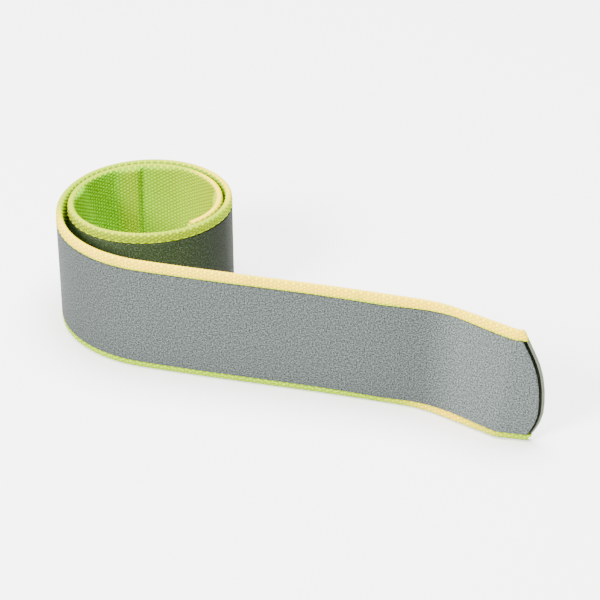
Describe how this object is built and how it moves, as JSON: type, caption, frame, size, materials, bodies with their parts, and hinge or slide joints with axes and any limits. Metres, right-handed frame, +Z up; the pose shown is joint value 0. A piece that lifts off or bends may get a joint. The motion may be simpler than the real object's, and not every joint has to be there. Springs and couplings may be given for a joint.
{
  "type": "slap bracelet",
  "caption": "Slap bracelet of woven neon band with a reflective strip, coiled at one end with the other end straight and flared.",
  "frame": {"origin": "middle of the bounding box, on the plane that the lower edge stands on", "axes": "+X along the straight stretch to the free end, +Z up, the reflective face of the stretch looks along -Y"},
  "size_m": [0.1754, 0.0798, 0.0402],
  "materials": {
    "webbing": "neon yellow woven polyester with fine cross ribs",
    "reflective_fabric": "silver glass-bead reflective fabric",
    "blade_steel": "plain rolled spring steel",
    "binding_fabric": "grey coated fabric"
  },
  "bodies": {
    "root": {"webbing": "webbing", "reflective_strip": "reflective_fabric", "spring_blade": "blade_steel", "end_binding": "binding_fabric"}
  },
  "joints": []
}
